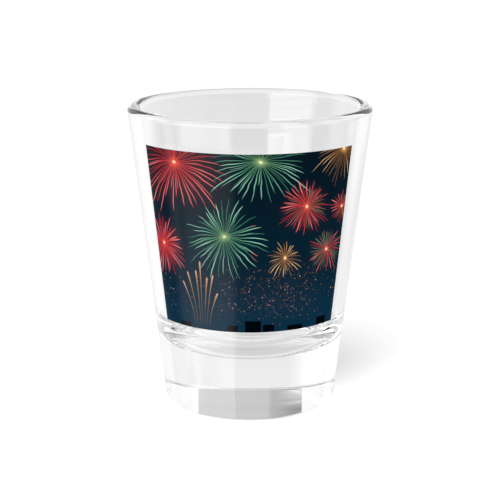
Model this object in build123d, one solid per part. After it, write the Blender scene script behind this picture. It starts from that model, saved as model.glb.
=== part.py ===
from build123d import *
import os

# A heavy-base shot glass with a picture panel printed on its outside wall.
# The origin is the centre of the flat underside, +Z runs up the axis to the
# rim, and the middle of the printed panel faces -Y. Millimetres throughout.

# Outside of the glass: a straight cone from the foot to the rim.
HEIGHT = 60.0
BASE_RADIUS = 17.30
RIM_RADIUS = 24.24
FOOT_FILLET = 0.5
RIM_OUTER_FILLET = 1.1

# Cavity: a steeper cone, turning through a wide fillet into a floor that
# rises gently to a flat crown in the middle.
FLOOR_HEIGHT = 12.5
CROWN_RADIUS = 3.5
CROWN_FILLET = 30.0
CORNER_HEIGHT = 9.5
CORNER_RADIUS = 16.65
CORNER_FILLET = 8.8
MOUTH_RADIUS = 21.50
RIM_INNER_FILLET = 1.2

# Printed panel: a white backing with the colour picture on top of it.
PANEL_BOTTOM = 18.95
PANEL_TOP = 54.05
PANEL_ARC = 110.0
INK_THICKNESS = 0.06


def outer_radius(z):
    """Radius of the glass's outside cone at height z."""
    return BASE_RADIUS + (RIM_RADIUS - BASE_RADIUS) * z / HEIGHT


def glass_body():
    """The one-piece moulded glass: solid floor, tapering wall, rounded rim."""
    section = FilletPolyline(
        (0, 0),
        (BASE_RADIUS, 0),
        (RIM_RADIUS, HEIGHT),
        (MOUTH_RADIUS, HEIGHT),
        (CORNER_RADIUS, CORNER_HEIGHT),
        (CROWN_RADIUS, FLOOR_HEIGHT),
        (0, FLOOR_HEIGHT),
        radius=(FOOT_FILLET, RIM_OUTER_FILLET, RIM_INNER_FILLET, CORNER_FILLET, CROWN_FILLET),
    )
    axis_edge = Line((0, FLOOR_HEIGHT), (0, 0))
    face = Plane.XZ * make_face([*section.edges(), axis_edge])
    return revolve(face, Axis.Z)


def ink_film(depth):
    """One ink film on the outside wall, its inner face at the given depth."""
    low = outer_radius(PANEL_BOTTOM) + depth
    high = outer_radius(PANEL_TOP) + depth
    outline = Polyline(
        (low, PANEL_BOTTOM),
        (low + INK_THICKNESS, PANEL_BOTTOM),
        (high + INK_THICKNESS, PANEL_TOP),
        (high, PANEL_TOP),
        close=True,
    )
    film = revolve(Plane.XZ * make_face(outline), Axis.Z, PANEL_ARC)
    return film.rotate(Axis.Z, -90 - PANEL_ARC / 2)


def white_ink_base():
    """Opaque white backing, printed straight on the glass."""
    return ink_film(0)


def colour_ink_layer():
    """The colour picture, printed on the white backing."""
    return ink_film(INK_THICKNESS)


os.makedirs("parts", exist_ok=True)
for make_node in (glass_body, white_ink_base, colour_ink_layer):
    export_step(make_node(), f"parts/{make_node.__name__}.step")
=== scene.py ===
"""A heavy-base shot glass with a printed fireworks panel, on a white studio floor."""

import math

import bpy
from mathutils import Euler, Matrix, Vector


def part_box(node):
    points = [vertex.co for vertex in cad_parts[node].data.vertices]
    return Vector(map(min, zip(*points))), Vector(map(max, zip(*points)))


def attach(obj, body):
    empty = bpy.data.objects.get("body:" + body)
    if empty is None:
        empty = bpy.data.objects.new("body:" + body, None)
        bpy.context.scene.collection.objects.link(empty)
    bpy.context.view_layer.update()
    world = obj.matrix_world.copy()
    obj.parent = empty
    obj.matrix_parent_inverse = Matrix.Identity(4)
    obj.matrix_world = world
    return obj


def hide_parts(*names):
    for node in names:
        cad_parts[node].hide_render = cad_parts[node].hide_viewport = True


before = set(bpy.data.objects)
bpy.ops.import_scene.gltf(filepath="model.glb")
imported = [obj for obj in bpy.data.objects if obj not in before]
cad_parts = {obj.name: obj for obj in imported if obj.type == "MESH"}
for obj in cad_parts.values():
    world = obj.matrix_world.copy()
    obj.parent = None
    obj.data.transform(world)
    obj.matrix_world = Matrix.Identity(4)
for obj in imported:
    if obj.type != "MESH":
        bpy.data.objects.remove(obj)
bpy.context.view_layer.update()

# ---------------------------------------------------------------- sizes
# The frame gives the height. The design is written in millimetres of the
# 60 mm tall glass, and MM turns them into metres.

foot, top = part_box("glass_body")
DESIGN_HEIGHT = 60.0
MM = (top.z - foot.z) / DESIGN_HEIGHT

BASE_RADIUS = 17.30
RIM_RADIUS = 24.24
MOUTH_RADIUS = 21.50
CORNER_RADIUS = 16.65
CORNER_HEIGHT = 9.5
CROWN_RADIUS = 3.5
FLOOR_HEIGHT = 12.5
FOOT_FILLET = 0.5
RIM_OUTER_FILLET = 1.1
RIM_INNER_FILLET = 1.2
CORNER_FILLET = 8.8
CROWN_FILLET = 30.0

PANEL_BOTTOM = 18.95
PANEL_TOP = 54.05
PANEL_HALF_ARC = 55.0
INK_THICKNESS = 0.06
# How far the backing reaches into the glass, so no air shows between them.
OPTICAL_CONTACT = 0.02
# How far the picture stands off the backing, so the two don't fight.
FILM_GAP = 0.002

LATHE_STEPS = 288
LONGEST_STEP = 2.5
GLASS_IOR = 1.5


def outer_radius(z):
    """Radius of the outside cone at height z, in millimetres."""
    return BASE_RADIUS + (RIM_RADIUS - BASE_RADIUS) * z / DESIGN_HEIGHT


# ---------------------------------------------------------------- node arithmetic


def srgb(red, green, blue):
    """A display colour, 0 to 255 a channel, as the linear colour nodes take."""
    def linear(value):
        value = value / 255
        if value <= 0.04045:
            return value / 12.92
        return ((value + 0.055) / 1.055) ** 2.4
    return (linear(red), linear(green), linear(blue), 1.0)


class Field:
    """A number in a node tree. Arithmetic on it adds Math nodes."""

    def __init__(self, tree, socket):
        self.tree = tree
        self.socket = socket

    def math(self, operation, *others):
        node = self.tree.nodes.new("ShaderNodeMath")
        node.operation = operation
        for socket, value in zip(node.inputs, (self, *others)):
            plug(self.tree, value, socket)
        return Field(self.tree, node.outputs[0])

    def __add__(self, other):
        return self.math("ADD", other)

    def __sub__(self, other):
        return self.math("SUBTRACT", other)

    def __mul__(self, other):
        return self.math("MULTIPLY", other)

    def __truediv__(self, other):
        return self.math("DIVIDE", other)

    def __radd__(self, other):
        return self.math("ADD", other)

    def __rmul__(self, other):
        return self.math("MULTIPLY", other)

    def __rsub__(self, other):
        return self.math("MULTIPLY", -1.0).math("ADD", other)

    def __abs__(self):
        return self.math("ABSOLUTE")

    def power(self, exponent):
        return self.math("POWER", exponent)

    def smooth(self, low, high):
        """0 below low, 1 above high, and a smooth step between."""
        node = self.tree.nodes.new("ShaderNodeMapRange")
        node.interpolation_type = "SMOOTHSTEP"
        node.clamp = False
        plug(self.tree, self, node.inputs["Value"])
        plug(self.tree, low, node.inputs["From Min"])
        plug(self.tree, high, node.inputs["From Max"])
        return Field(self.tree, node.outputs["Result"])

    def band(self, low, high, soft):
        """1 between low and high, 0 outside, with edges of half-width soft."""
        return self.smooth(low - soft, low + soft) * (1.0 - self.smooth(high - soft, high + soft))


def plug(tree, value, socket):
    """Links a field to a socket, or writes a plain value into it."""
    if isinstance(value, Field):
        tree.links.new(value.socket, socket)
    else:
        socket.default_value = value


def mix_colour(tree, share, below, above):
    """Colour mix: below where share is 0, above where it is 1."""
    node = tree.nodes.new("ShaderNodeMix")
    node.data_type = "RGBA"
    node.clamp_factor = True
    plug(tree, share, node.inputs[0])
    plug(tree, below, node.inputs[6])
    plug(tree, above, node.inputs[7])
    return Field(tree, node.outputs[2])


def add_colour(tree, share, below, glow):
    """Colour sum: below, plus share times glow."""
    node = tree.nodes.new("ShaderNodeMix")
    node.data_type = "RGBA"
    node.blend_type = "ADD"
    node.clamp_factor = False
    plug(tree, share, node.inputs[0])
    plug(tree, below, node.inputs[6])
    plug(tree, glow, node.inputs[7])
    return Field(tree, node.outputs[2])


def pair(tree, first, second):
    """A vector of two fields, for a 2-D texture."""
    node = tree.nodes.new("ShaderNodeCombineXYZ")
    plug(tree, first, node.inputs[0])
    plug(tree, second, node.inputs[1])
    return Field(tree, node.outputs[0])


def split(tree, vector):
    """The three parts of a vector."""
    node = tree.nodes.new("ShaderNodeSeparateXYZ")
    plug(tree, vector, node.inputs[0])
    return [Field(tree, output) for output in node.outputs]


def split_colour(tree, socket):
    """The three parts of a colour output."""
    node = tree.nodes.new("ShaderNodeSeparateColor")
    tree.links.new(socket, node.inputs[0])
    return [Field(tree, output) for output in node.outputs]


def noise_node(tree, vector, scale, detail):
    """A soft 3-D noise node."""
    node = tree.nodes.new("ShaderNodeTexNoise")
    plug(tree, vector, node.inputs["Vector"])
    node.inputs["Scale"].default_value = scale
    node.inputs["Detail"].default_value = detail
    return node


def noise(tree, vector, scale, detail):
    """Soft 3-D noise about 0.5."""
    return Field(tree, noise_node(tree, vector, scale, detail).outputs["Fac"])


def randoms(tree, cell):
    """Four random numbers that are the same all over one numbered cell."""
    node = tree.nodes.new("ShaderNodeTexWhiteNoise")
    node.noise_dimensions = "1D"
    plug(tree, cell, node.inputs["W"])
    return [Field(tree, node.outputs["Value"]), *split_colour(tree, node.outputs["Color"])]


def new_material(name):
    """A material with its Principled shader, ready for its nodes."""
    material = bpy.data.materials.new(name)
    material.use_nodes = True
    tree = material.node_tree
    return material, tree, tree.nodes["Principled BSDF"]


def add_ripple(tree, shader, height, strength, depth):
    """Bends the shader's normal over a surface relief, depth in design millimetres."""
    ripple = tree.nodes.new("ShaderNodeBump")
    ripple.inputs["Strength"].default_value = strength
    ripple.inputs["Distance"].default_value = depth * MM
    plug(tree, height, ripple.inputs["Height"])
    tree.links.new(ripple.outputs["Normal"], shader.inputs["Normal"])


def surface_point(tree):
    """The point being shaded, in design millimetres."""
    node = tree.nodes.new("ShaderNodeTexCoord")
    scale = tree.nodes.new("ShaderNodeVectorMath")
    scale.operation = "SCALE"
    tree.links.new(node.outputs["Object"], scale.inputs[0])
    scale.inputs["Scale"].default_value = 1 / MM
    return Field(tree, scale.outputs[0])


# ---------------------------------------------------------------- the printed picture
# Places on the picture are millimetres on the unrolled panel: across from its
# middle, and up from the underside of the glass.

RED = srgb(224, 50, 60)
RED_PALE = srgb(255, 140, 134)
RED_HEART = srgb(255, 92, 70)
GREEN = srgb(70, 154, 118)
GREEN_PALE = srgb(172, 230, 202)
GREEN_HEART = srgb(160, 190, 124)
GOLD = srgb(180, 122, 70)
GOLD_PALE = srgb(246, 206, 140)
GOLD_HEART = srgb(248, 166, 80)
EMBER = srgb(214, 168, 100)
ORANGE = srgb(206, 122, 84)
ORANGE_PALE = srgb(250, 196, 158)
OLIVE = srgb(126, 104, 76)
SAGE = srgb(92, 124, 98)
CORE = srgb(255, 240, 196)
SKYLINE = srgb(0, 6, 14)

REDS = (RED, RED_PALE, RED_HEART)
GREENS = (GREEN, GREEN_PALE, GREEN_HEART)
GOLDS = (GOLD, GOLD_PALE, GOLD_HEART)

# A start far enough left of the heart that the whole burst lies right of it.
EVERYWHERE = -99.0

# across, up, radius, sideways stretch, number of rays, droop, seed, colours,
# second colour, share of rays that take it, how far right of the heart they
# take it, width of a ray, glow
BURSTS = [
    (-14.6, 51.65, 10.2, 1.24, 36, 0.56, 11, REDS, RED, 0.0, EVERYWHERE, 0.20, 0.12),
    (2.3, 52.6, 8.6, 1.36, 34, 0.42, 23, GREENS, GREEN, 0.0, EVERYWHERE, 0.18, 0.02),
    (20.3, 53.8, 7.3, 1.20, 32, 0.44, 37, GOLDS, GOLD, 0.0, EVERYWHERE, 0.13, 0.03),
    (11.3, 43.5, 6.2, 1.05, 42, 0.18, 41, REDS, OLIVE, 0.34, EVERYWHERE, 0.19, 0.12),
    (20.3, 42.4, 3.8, 1.05, 24, 0.18, 53, REDS, GOLD, 0.40, EVERYWHERE, 0.15, 0.06),
    (-4.5, 38.25, 9.0, 1.05, 38, 0.22, 67, GREENS, RED_PALE, 0.5, 4.6, 0.17, 0.02),
    (-18.3, 35.2, 7.2, 0.95, 34, 0.26, 79, REDS, RED, 0.0, EVERYWHERE, 0.24, 0.30),
    (7.0, 33.85, 4.5, 0.90, 24, 0.24, 83, GOLDS, GOLD, 0.0, EVERYWHERE, 0.15, 0.04),
    (16.3, 34.5, 5.3, 1.05, 34, 0.20, 97, REDS, SAGE, 0.40, EVERYWHERE, 0.16, 0.08),
]

# tip across, tip up, foot across
TRAILS = [
    (-13.4, 28.3, -10.6),
    (-12.3, 30.4, -10.1),
    (-10.4, 30.9, -9.5),
    (-9.5, 32.8, -9.1),
    (-8.0, 29.7, -8.6),
    (-6.8, 30.3, -8.1),
    (-5.9, 26.7, -7.6),
]
TRAIL_FOOT = 19.2

# The middle of the drifting sparks.
SPARKS_ACROSS = 4.5
SPARKS_UP = 26.5

# middle across, half width, top
BLOCKS = [
    (-13.0, 1.30, 19.9),
    (-3.0, 1.00, 20.3),
    (0.9, 1.50, 21.3),
    (3.9, 1.10, 20.5),
    (9.2, 1.60, 20.0),
    (15.5, 1.20, 20.6),
]


def ray_layer(tree, inputs, angle, reach, count, width, seed):
    """One ring of rays: its cover, its pale highlights and its random tone."""
    turns = angle * (1 / (2 * math.pi)) + 0.5
    place = turns * count
    cell = place.math("FLOOR")
    tone, long, shift, bright = randoms(tree, cell + seed)
    along = reach / (long * 0.34 + 0.66)
    middle = (shift - 0.5) * 0.5 + (tone - 0.5) * along * 0.45 + 0.5
    off = abs(place - cell - middle)
    gap = off * reach * inputs["radius"] * (2 * math.pi) / count
    taper = (along * 0.9 + 0.18) * (1.0 - along.power(6.0))
    half = (taper * width * (bright * 0.4 + 0.8)).math("MAXIMUM", 0.001)
    cover = (1.0 - (gap / half).smooth(0.2, 1.0)) * (1.0 - along.smooth(0.93, 1.0))
    strength = bright * 0.5 + 0.5
    pale = along.smooth(0.30, 0.65) * (1.0 - along.smooth(0.85, 1.0)) * bright.smooth(0.10, 0.75)
    pale = pale * (1.0 - (gap / half).smooth(0.1, 0.8))
    return cover * strength, pale, tone


def burst_group():
    """The node group that draws one firework burst over the picture."""
    tree = bpy.data.node_groups.new("firework_burst", "ShaderNodeTree")
    numbers = (
        "across", "up", "radius", "stretch", "rays", "droop", "seed", "share", "beyond", "width", "glow",
    )
    colours = ("picture", "colour", "second", "pale", "heart")
    for name in numbers:
        tree.interface.new_socket(name, in_out="INPUT", socket_type="NodeSocketFloat")
    for name in colours:
        tree.interface.new_socket(name, in_out="INPUT", socket_type="NodeSocketColor")
    tree.interface.new_socket("picture", in_out="OUTPUT", socket_type="NodeSocketColor")
    entry = tree.nodes.new("NodeGroupInput")
    leave = tree.nodes.new("NodeGroupOutput")
    inputs = {name: Field(tree, entry.outputs[name]) for name in (*numbers, *colours)}

    # Undo the droop: sparks thrown sideways fall the further they have gone.
    across, up = inputs["across"] / inputs["stretch"], inputs["up"]
    radius = inputs["radius"]
    distance = (across * across + up * up).math("SQRT")
    for _ in range(2):
        fall = (distance / radius).math("MINIMUM", 1.3) * abs(across) * inputs["droop"]
        raised = up + fall
        distance = (across * across + raised * raised).math("SQRT")
    reach = distance / radius
    angle = raised.math("ARCTAN2", across)

    picture = inputs["picture"]
    glow = inputs["glow"] * (1.0 - reach.smooth(0.0, 1.1)).power(2.0)
    picture = add_colour(tree, glow, picture, inputs["colour"])
    layers = (
        (inputs["rays"] * 0.65, inputs["width"] * 0.85, inputs["seed"] + 400.0, 0.75, 0.70),
        (inputs["rays"], inputs["width"], inputs["seed"], 1.0, 1.0),
    )
    for count, width, seed, strength, size in layers:
        count = count.math("ROUND")
        cover, pale, tone = ray_layer(tree, inputs, angle, reach / size, count, width, seed)
        second = inputs["share"].math("GREATER_THAN", tone)
        second = second * (inputs["across"] - inputs["beyond"]).smooth(0.0, 1.0)
        ray = mix_colour(tree, pale, inputs["colour"], inputs["pale"])
        ray = mix_colour(tree, second, ray, inputs["second"])
        ray = mix_colour(tree, 0.35 - reach.smooth(0.0, 0.45) * 0.35, ray, inputs["heart"])
        picture = mix_colour(tree, cover * strength, picture, ray)
    heart = (1.0 - reach.smooth(0.0, 0.20)).power(2.0)
    picture = mix_colour(tree, heart * 0.75, picture, inputs["heart"])
    spark = 1.0 - distance.smooth(0.05, 0.42)
    picture = mix_colour(tree, spark, picture, CORE)
    tree.links.new(picture.socket, leave.inputs["picture"])
    return tree


def draw_burst(tree, group, picture, across, up, burst):
    """Adds one burst of the list to the picture."""
    x, z, radius, stretch, rays, droop, seed, colours, second, share, beyond, width, glow = burst
    colour, pale, heart = colours
    from_heart = across - x
    above_heart = up - z
    node = tree.nodes.new("ShaderNodeGroup")
    node.node_tree = group
    values = {
        "picture": picture, "across": from_heart, "up": above_heart, "radius": radius,
        "stretch": stretch, "rays": rays, "droop": droop, "seed": seed, "colour": colour,
        "second": second, "share": share, "beyond": beyond, "pale": pale, "heart": heart,
        "width": width, "glow": glow,
    }
    for name, value in values.items():
        plug(tree, value, node.inputs[name])
    return Field(tree, node.outputs["picture"])


def draw_trail(tree, picture, across, up, tip_x, tip_z, foot_x):
    """A rising rocket trail: a faint thread that swells to a bright head."""
    height = ((up - TRAIL_FOOT) / (tip_z - TRAIL_FOOT)).math("MAXIMUM", 0.0)
    middle = height.power(1.7) * (tip_x - foot_x) + foot_x
    half = height.power(4.0) * 0.20 + 0.10
    half = half * (1.0 - height.smooth(0.97, 1.02)) + 0.001
    gap = abs(across - middle) / half
    cover = (1.0 - gap.smooth(0.2, 1.0)) * (1.0 - height.smooth(0.99, 1.02))
    cover = cover * (height.power(2.0) * 0.75 + 0.12) * height.smooth(0.0, 0.15)
    colour = mix_colour(tree, height.smooth(0.65, 0.95), EMBER, ORANGE)
    colour = mix_colour(tree, height.smooth(0.70, 0.95) * (1.0 - gap), colour, ORANGE_PALE)
    return mix_colour(tree, cover, picture, colour)


def draw_sparks(tree, picture, across, up):
    """Drifting orange embers in a faint haze, thickest right of the middle."""
    from_middle = across - SPARKS_ACROSS
    low = (1.0 - ((up - SPARKS_UP) / 6.5).power(2.0)).math("MAXIMUM", 0.0)
    haze = (1.0 - (from_middle / 12.0).power(2.0)).math("MAXIMUM", 0.0) * low
    picture = add_colour(tree, haze * 0.006, picture, ORANGE)
    crowd = (1.0 - (from_middle / 12.5).power(2.0)).math("MAXIMUM", 0.22) * low
    crowd = crowd.math("MINIMUM", 1.0)
    # size of a cell, seed, strength, share of cells that hold a spark
    layers = ((1.25, 0.0, 1.0, 0.36), (0.70, 31.0, 0.50, 0.40), (0.42, 67.0, 0.30, 0.60))
    for size, seed, strength, share in layers:
        cells = tree.nodes.new("ShaderNodeTexVoronoi")
        cells.voronoi_dimensions = "2D"
        cells.inputs["Scale"].default_value = 1 / size
        spot = pair(tree, across + seed, up - seed)
        plug(tree, spot, cells.inputs["Vector"])
        pick, big, warm = split_colour(tree, cells.outputs["Color"])
        distance = Field(tree, cells.outputs["Distance"]) * size
        here = (crowd * share).math("GREATER_THAN", pick)
        radius = big.power(3.0) * 0.15 + 0.07
        dot = (1.0 - (distance / radius).smooth(0.3, 1.0)) * here * strength
        colour = mix_colour(tree, warm, ORANGE, ORANGE_PALE)
        picture = mix_colour(tree, dot * (big * 0.7 + 0.12), picture, colour)
    return picture


def draw_skyline(tree, picture, across, up):
    """Plain dark flat roofs along the lower edge."""
    shade = 0.0
    for middle, half, height in BLOCKS:
        inside = 1.0 - abs(across - middle).smooth(half - 0.05, half + 0.05)
        roof = inside * (1.0 - up.smooth(height - 0.06, height + 0.06))
        shade = roof.math("MAXIMUM", shade)
    return mix_colour(tree, shade, picture, SKYLINE)


def draw_sky(tree, point, across, up):
    """Night sky: near black above, deep teal blue below, slightly mottled."""
    height = (up - PANEL_BOTTOM) / (PANEL_TOP - PANEL_BOTTOM)
    sky = mix_colour(tree, height.smooth(0.0, 0.45), srgb(4, 45, 66), srgb(1, 31, 46))
    sky = mix_colour(tree, height.smooth(0.35, 1.0), sky, srgb(0, 19, 31))
    smoke = noise(tree, point, 0.16, 4.0)
    sky = add_colour(tree, smoke.smooth(0.35, 0.8) * 0.0015, sky, srgb(255, 120, 110))
    grain = noise(tree, point, 4.0, 2.0)
    return add_colour(tree, grain.smooth(0.35, 0.75) * 0.004, sky, srgb(70, 170, 255))


def picture_material():
    """Colour inks under a clear gloss: the night sky with its fireworks."""
    material, tree, shader = new_material("picture_ink")
    point = surface_point(tree)
    x, y, z = split(tree, point)
    flat_radius = (x * x + y * y).math("SQRT")
    turn = x.math("ARCTAN2", y * -1.0)
    across = turn * flat_radius
    picture = draw_sky(tree, point, across, z)
    picture = draw_sparks(tree, picture, across, z)
    for trail in TRAILS:
        picture = draw_trail(tree, picture, across, z, *trail)
    wander = noise_node(tree, point, 0.20, 2.0)
    sway, lift, _ = split_colour(tree, wander.outputs["Color"])
    bent_across = across + (sway - 0.5) * 1.1
    bent_up = z + (lift - 0.5) * 1.1
    group = burst_group()
    for burst in BURSTS:
        picture = draw_burst(tree, group, picture, bent_across, bent_up, burst)
    picture = draw_skyline(tree, picture, across, z)
    tree.links.new(picture.socket, shader.inputs["Base Color"])
    gloss = noise(tree, point, 0.8, 3.0)
    plug(tree, gloss * 0.05 + 0.16, shader.inputs["Roughness"])
    shader.inputs["IOR"].default_value = GLASS_IOR
    shader.inputs["Specular IOR Level"].default_value = 0.145
    add_ripple(tree, shader, noise(tree, point, 1.6, 2.0), 0.15, 0.01)
    return material


def backing_material():
    """Opaque white ink: slightly uneven, as screen printing leaves it."""
    material, tree, shader = new_material("white_ink")
    point = surface_point(tree)
    cloud = noise(tree, point, 0.5, 4.0)
    grain = noise(tree, point, 6.0, 2.0)
    share = cloud.smooth(0.3, 0.75) * 0.6 + grain.smooth(0.4, 0.7) * 0.4
    white = mix_colour(tree, share, srgb(236, 236, 234), srgb(246, 246, 245))
    tree.links.new(white.socket, shader.inputs["Base Color"])
    plug(tree, grain * 0.12 + 0.30, shader.inputs["Roughness"])
    return material


def glass_material():
    """Clear pressed glass: fire-polished, with the faintest waviness."""
    material, tree, shader = new_material("clear_glass")
    point = surface_point(tree)
    shader.inputs["Base Color"].default_value = (1.0, 1.0, 1.0, 1.0)
    shader.inputs["Transmission Weight"].default_value = 1.0
    shader.inputs["IOR"].default_value = GLASS_IOR
    shader.inputs["Roughness"].default_value = 0.0
    add_ripple(tree, shader, noise(tree, point, 0.10, 1.0), 0.25, 0.06)
    return material


# ---------------------------------------------------------------- meshes


def arc_corner(before, corner, after, radius, steps):
    """Points of the arc that rounds one corner of a section."""
    corner = Vector(corner)
    towards = (Vector(before) - corner).normalized()
    onwards = (Vector(after) - corner).normalized()
    half = towards.angle(onwards) / 2
    start = corner + towards * radius / math.tan(half)
    middle = corner + (towards + onwards).normalized() * radius / math.sin(half)
    end = corner + onwards * radius / math.tan(half)
    turn = (start - middle).angle_signed(end - middle)
    points = []
    for step in range(steps + 1):
        spoke = (start - middle).copy()
        spoke.rotate(Matrix.Rotation(-turn * step / steps, 2))
        points.append(middle + spoke)
    return points


def straight(start, end, longest):
    """Points inside a straight stretch, with one close to each end."""
    length = (end - start).length
    edge = min(0.12, length / 4)
    inner = length - 2 * edge
    count = max(1, math.ceil(inner / longest))
    return [start + (end - start) * (edge + inner * i / count) / length for i in range(count + 1)]


def glass_section():
    """The glass's section, from the middle of its foot to the middle of its floor."""
    corners = [
        (0, 0),
        (BASE_RADIUS, 0),
        (RIM_RADIUS, DESIGN_HEIGHT),
        (MOUTH_RADIUS, DESIGN_HEIGHT),
        (CORNER_RADIUS, CORNER_HEIGHT),
        (CROWN_RADIUS, FLOOR_HEIGHT),
        (0, FLOOR_HEIGHT),
    ]
    fillets = [
        (FOOT_FILLET, 10),
        (RIM_OUTER_FILLET, 14),
        (RIM_INNER_FILLET, 14),
        (CORNER_FILLET, 32),
        (CROWN_FILLET, 12),
    ]
    section = [Vector(corners[0])]
    for index, (radius, steps) in enumerate(fillets, start=1):
        arc = arc_corner(corners[index - 1], corners[index], corners[index + 1], radius, steps)
        section += straight(section[-1], arc[0], LONGEST_STEP)
        section += arc
    section += straight(section[-1], Vector(corners[-1]), LONGEST_STEP)
    section.append(Vector(corners[-1]))
    return section


def lathe(name, section):
    """Turns a section that starts and ends on the axis into a closed mesh."""
    rings = [point for point in section if point.x > 1e-6]
    vertices = [(0, 0, section[0].y * MM)]
    for ring in rings:
        for step in range(LATHE_STEPS):
            turn = 2 * math.pi * step / LATHE_STEPS
            x = ring.x * math.cos(turn) * MM
            y = ring.x * math.sin(turn) * MM
            vertices.append((x, y, ring.y * MM))
    vertices.append((0, 0, section[-1].y * MM))
    last = len(vertices) - 1
    faces = []
    for step in range(LATHE_STEPS):
        after = (step + 1) % LATHE_STEPS
        faces.append((0, 1 + after, 1 + step))
        for ring in range(len(rings) - 1):
            low = 1 + ring * LATHE_STEPS
            high = low + LATHE_STEPS
            faces.append((low + step, low + after, high + after, high + step))
        low = 1 + (len(rings) - 1) * LATHE_STEPS
        faces.append((low + step, low + after, last))
    return mesh_object(name, vertices, faces)


def mesh_object(name, vertices, faces):
    """A smooth-shaded mesh object of these vertices and faces."""
    mesh = bpy.data.meshes.new(name)
    mesh.from_pydata(vertices, [], faces)
    mesh.shade_smooth()
    mesh.update()
    thing = bpy.data.objects.new(name, mesh)
    bpy.context.scene.collection.objects.link(thing)
    return thing


def shell_faces(across_steps, up_steps):
    """Faces of a closed shell: two grids of points, and a rim between them."""
    wide = across_steps + 1
    layer = wide * (up_steps + 1)
    faces = []
    for row in range(up_steps):
        for column in range(across_steps):
            a = row * wide + column
            faces.append((a, a + wide, a + wide + 1, a + 1))
            faces.append((layer + a, layer + a + 1, layer + a + wide + 1, layer + a + wide))
    for row in range(up_steps):
        a = row * wide
        faces.append((a, layer + a, layer + a + wide, a + wide))
        b = a + across_steps
        faces.append((b, b + wide, layer + b + wide, layer + b))
    for column in range(across_steps):
        a = column
        faces.append((a, a + 1, layer + a + 1, layer + a))
        b = up_steps * wide + column
        faces.append((b, layer + b, layer + b + 1, b + 1))
    return faces


def ink_film(name, inner, outer):
    """A thin closed shell on the outside wall, from depth inner to depth outer."""
    across_steps, up_steps = 120, 24
    vertices = []
    coordinates = []
    for depth in (inner, outer):
        for row in range(up_steps + 1):
            z = PANEL_BOTTOM + (PANEL_TOP - PANEL_BOTTOM) * row / up_steps
            radius = outer_radius(z) + depth
            for column in range(across_steps + 1):
                share = column / across_steps
                turn = math.radians(PANEL_HALF_ARC * (2 * share - 1))
                x = radius * math.sin(turn) * MM
                y = -radius * math.cos(turn) * MM
                vertices.append((x, y, z * MM))
                coordinates.append((share, row / up_steps))
    faces = shell_faces(across_steps, up_steps)
    film = mesh_object(name, vertices, faces)
    film.data.set_sharp_from_angle(angle=math.radians(40))
    chart = film.data.uv_layers.new(name="panel")
    for loop in film.data.loops:
        chart.data[loop.index].uv = coordinates[loop.vertex_index]
    return film


# ---------------------------------------------------------------- the studio


def wall_level(azimuth, back, elevation):
    """Pale walls, a little grey overhead, low down and straight behind."""
    aside = abs(back)
    level = 0.67 + elevation.smooth(-54.0, -30.0) * 0.33
    level = level - elevation.smooth(32.0, 38.0) * 0.18
    behind = aside.band(-10.0, 20.0, 5.0)
    level = level - behind * elevation.band(-44.0, -1.0, 5.0) * 0.13
    level = level - behind * elevation.band(-12.0, -4.0, 2.0) * 0.08
    level = level - back.band(-70.0, -20.0, 5.0) * elevation.band(-45.0, -13.0, 4.0) * 0.12
    level = level - back.band(-30.0, -18.0, 4.0) * elevation.band(-15.0, -10.0, 1.0) * 0.10
    level = level + back.band(-12.0, 19.0, 3.0) * elevation.band(-15.0, -10.0, 1.0) * 0.04
    level = level + aside.band(-10.0, 20.0, 3.0) * elevation.band(-6.0, 8.0, 1.5) * 0.15
    level = level + aside.band(26.0, 50.0, 3.0) * elevation.band(17.0, 25.0, 1.5) * 0.08
    return level + azimuth.band(-128.0, -100.0, 4.0) * elevation.band(-18.0, 24.0, 3.0) * 0.18


def hang_cards(level, back, elevation):
    """Adds a small white card almost straight behind, and a grey one above it."""
    small = (1.0 - back.smooth(-0.7, -0.5)) * back.smooth(-3.6, -0.9)
    level = level + small * elevation.band(-9.7, -8.35, 0.08) * 0.17
    card = back.band(-26.4, 28.5, 0.6) * elevation.band(8.0, 34.0, 2.0)
    shade = 0.62 - back.smooth(8.5, 11.5) * 0.12
    shade = shade + back.smooth(11.0, 26.0) * (0.36 - elevation.smooth(20.7, 21.8) * 0.54)
    return level * (1.0 - card) + card * shade


def dim_camera_side(level, azimuth, elevation):
    """Dims the half of the room on the camera's side, with black flags low down."""
    room = 0.58 - azimuth.band(-20.0, 18.0, 3.0) * elevation.band(-40.0, 6.0, 3.0) * 0.18
    room = room + azimuth.smooth(45.0, 60.0) * elevation.band(-18.0, 10.0, 3.0) * 0.12
    room = room + azimuth.band(17.0, 66.0, 2.0) * elevation.band(-27.0, -17.0, 1.5) * 0.35
    room = room - azimuth.band(-120.0, -73.0, 3.0) * elevation.band(-40.0, -14.0, 2.0) * 0.45
    slot_top = azimuth.band(17.0, 66.0, 2.0) * -8.0 - 18.0
    slot = elevation.smooth(-35.0, -33.0) * (1.0 - elevation.smooth(slot_top - 1.5, slot_top + 1.5))
    room = room * (1.0 - slot * 0.88)
    front = azimuth.smooth(-104.0, -98.0) * (1.0 - azimuth.smooth(88.0, 94.0))
    level = level * (1.0 - front) + front * room
    flags = abs(azimuth).band(84.0, 117.0, 3.0) * elevation.band(-27.5, -19.5, 1.5)
    return level * (1.0 - flags * 0.80)


def left_softbox(azimuth, elevation):
    """The tall softbox left of the camera: where it is, and how bright."""
    low = 1.0 - elevation.smooth(-31.0, -25.0)
    edge = low * -7.0 - 73.0
    blur = low * 8.0 + 1.2
    softbox = azimuth.smooth(edge - blur, edge + blur) * (1.0 - azimuth.smooth(-20.8, -19.2))
    softbox = softbox * elevation.band(-60.0, 22.0, 3.0)
    glow = 1.90 + elevation.band(-6.0, 12.0, 4.0) * 0.55 - elevation.band(-27.0, -19.0, 3.0) * 0.25
    return softbox, glow


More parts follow.
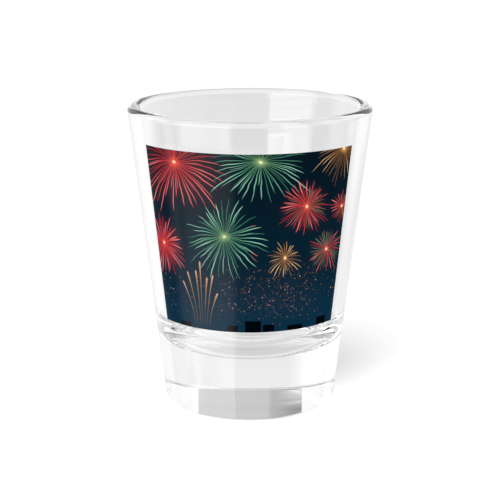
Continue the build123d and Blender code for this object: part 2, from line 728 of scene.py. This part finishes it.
def mirrored_level(level, mirrored, softbox, azimuth, elevation):
    """What the outside mirrors: a wider softbox, between two black cloths."""
    wide = azimuth.band(-89.0, -76.0, 4.0) * elevation.smooth(-30.5, -28.5)
    wide = wide + azimuth.band(-20.0, -16.0, 1.5)
    wide = wide * elevation.band(-32.5, 12.0, 1.0)
    cloth = azimuth.band(-15.0, 124.0, 4.0) + azimuth.band(-122.0, -94.0, 4.0) * 0.8
    cloth = cloth * (1.0 - elevation.smooth(0.0, 12.0))
    low_glow = softbox * elevation.band(-31.5, -29.5, 1.5) * 0.6
    return level * (1.0 + mirrored * (low_glow - cloth * 0.95)) + mirrored * wide * 1.3


def studio_world():
    """Soft studio surroundings, white behind the glass and dim behind the camera.

    Azimuth 0 is the side the panel faces, and it grows to the right. Seen
    directly, and by matt surfaces, the studio is plain white.
    """
    world = bpy.data.worlds.new("studio")
    bpy.context.scene.world = world
    world.use_nodes = True
    world.cycles.sampling_method = "NONE"
    tree = world.node_tree
    tree.nodes.clear()
    coordinates = tree.nodes.new("ShaderNodeTexCoord")
    x, y, z = split(tree, Field(tree, coordinates.outputs["Generated"]))
    azimuth = x.math("ARCTAN2", y * -1.0) * (180 / math.pi)
    elevation = z.math("ARCSINE") * (180 / math.pi)
    # Degrees round from straight behind the glass, positive to its left.
    back = azimuth - azimuth.math("SIGN") * 180.0
    level = wall_level(azimuth, back, elevation)
    level = hang_cards(level, back, elevation)
    level = dim_camera_side(level, azimuth, elevation)
    softbox, glow = left_softbox(azimuth, elevation)
    level = level * (1.0 - softbox) + softbox * glow

    path = tree.nodes.new("ShaderNodeLightPath")
    # Glossy rays that have bounced once. The limit was found by trial, and may
    # let some second bounces through.
    mirrored = Field(tree, path.outputs["Ray Depth"]).math("LESS_THAN", 2.5)
    mirrored = mirrored * Field(tree, path.outputs["Is Glossy Ray"])
    level = mirrored_level(level, mirrored, softbox, azimuth, elevation)
    diffuse = Field(tree, path.outputs["Diffuse Depth"]).math("GREATER_THAN", 0.5)
    plain = Field(tree, path.outputs["Is Camera Ray"]).math("MAXIMUM", diffuse)
    level = level * (1.0 - plain) + plain
    light = tree.nodes.new("ShaderNodeBackground")
    light.inputs["Color"].default_value = (1.0, 1.0, 1.0, 1.0)
    plug(tree, level, light.inputs["Strength"])
    end = tree.nodes.new("ShaderNodeOutputWorld")
    tree.links.new(light.outputs[0], end.inputs["Surface"])


def studio_floor():
    """The pale floor. Glass and gloss see the studio surroundings instead of it."""
    size = 4.0
    edge = size / 2
    floor = mesh_object(
        "floor",
        [(-edge, -edge, 0), (edge, -edge, 0), (edge, edge, 0), (-edge, edge, 0)],
        [(0, 1, 2, 3)],
    )
    floor.location.z = foot.z
    material, tree, shader = new_material("floor_paper")
    point = surface_point(tree)
    grain = noise(tree, point, 0.02, 2.0)
    paper = mix_colour(tree, grain, (0.735, 0.735, 0.735, 1.0), (0.745, 0.745, 0.745, 1.0))
    tree.links.new(paper.socket, shader.inputs["Base Color"])
    shader.inputs["Roughness"].default_value = 1.0
    shader.inputs["Specular IOR Level"].default_value = 0.0
    floor.data.materials.append(material)
    floor.visible_glossy = False
    floor.visible_transmission = False
    return floor


def key_light(floor):
    """A key light for the floor only: the print's soft shadow falls back and right."""
    lamp = bpy.data.lights.new("key", "SUN")
    lamp.energy = 2.10
    lamp.angle = math.radians(22)
    key = bpy.data.objects.new("key", lamp)
    key.rotation_euler = Euler((math.radians(49.5), 0, math.radians(-17)))
    bpy.context.scene.collection.objects.link(key)
    lit = bpy.data.collections.new("key_light_receivers")
    lit.objects.link(floor)
    key.light_linking.receiver_collection = lit


CAMERA_AZIMUTH = 0.95
CAMERA_DISTANCE = 253.70
CAMERA_HEIGHT = 96.42
CAMERA_PITCH = 14.653
CAMERA_LENS = 93.05


def place_camera():
    """The camera, looking down a little at the printed panel."""
    data = bpy.data.cameras.new("camera")
    data.sensor_width = 36.0
    data.lens = CAMERA_LENS
    data.clip_start = 0.01
    data.clip_end = 50.0
    camera = bpy.data.objects.new("camera", data)
    turn = math.radians(CAMERA_AZIMUTH)
    camera.location = (
        CAMERA_DISTANCE * math.sin(turn) * MM,
        -CAMERA_DISTANCE * math.cos(turn) * MM,
        foot.z + CAMERA_HEIGHT * MM,
    )
    camera.rotation_euler = Euler((math.radians(90 - CAMERA_PITCH), 0, turn))
    bpy.context.scene.collection.objects.link(camera)
    bpy.context.scene.camera = camera


# ---------------------------------------------------------------- the object


def add_piece(piece, material, node):
    """Dresses a piece, hides its CAD node, and hangs the piece on the root body."""
    piece.data.materials.append(material)
    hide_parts(node)
    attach(piece, "root")


glass = lathe("glass_tumbler", glass_section())
add_piece(glass, glass_material(), "glass_body")
glass.visible_shadow = False
glass.visible_diffuse = False
backing = ink_film("print_white_backing", -OPTICAL_CONTACT, INK_THICKNESS)
add_piece(backing, backing_material(), "white_ink_base")
picture = ink_film("print_picture", INK_THICKNESS + FILM_GAP, 2 * INK_THICKNESS)
add_piece(picture, picture_material(), "colour_ink_layer")

studio_world()
key_light(studio_floor())
place_camera()

bpy.context.scene.view_settings.view_transform = "Standard"
bpy.context.scene.cycles.max_bounces = 64
bpy.context.scene.cycles.transmission_bounces = 64
bpy.context.scene.cycles.glossy_bounces = 24
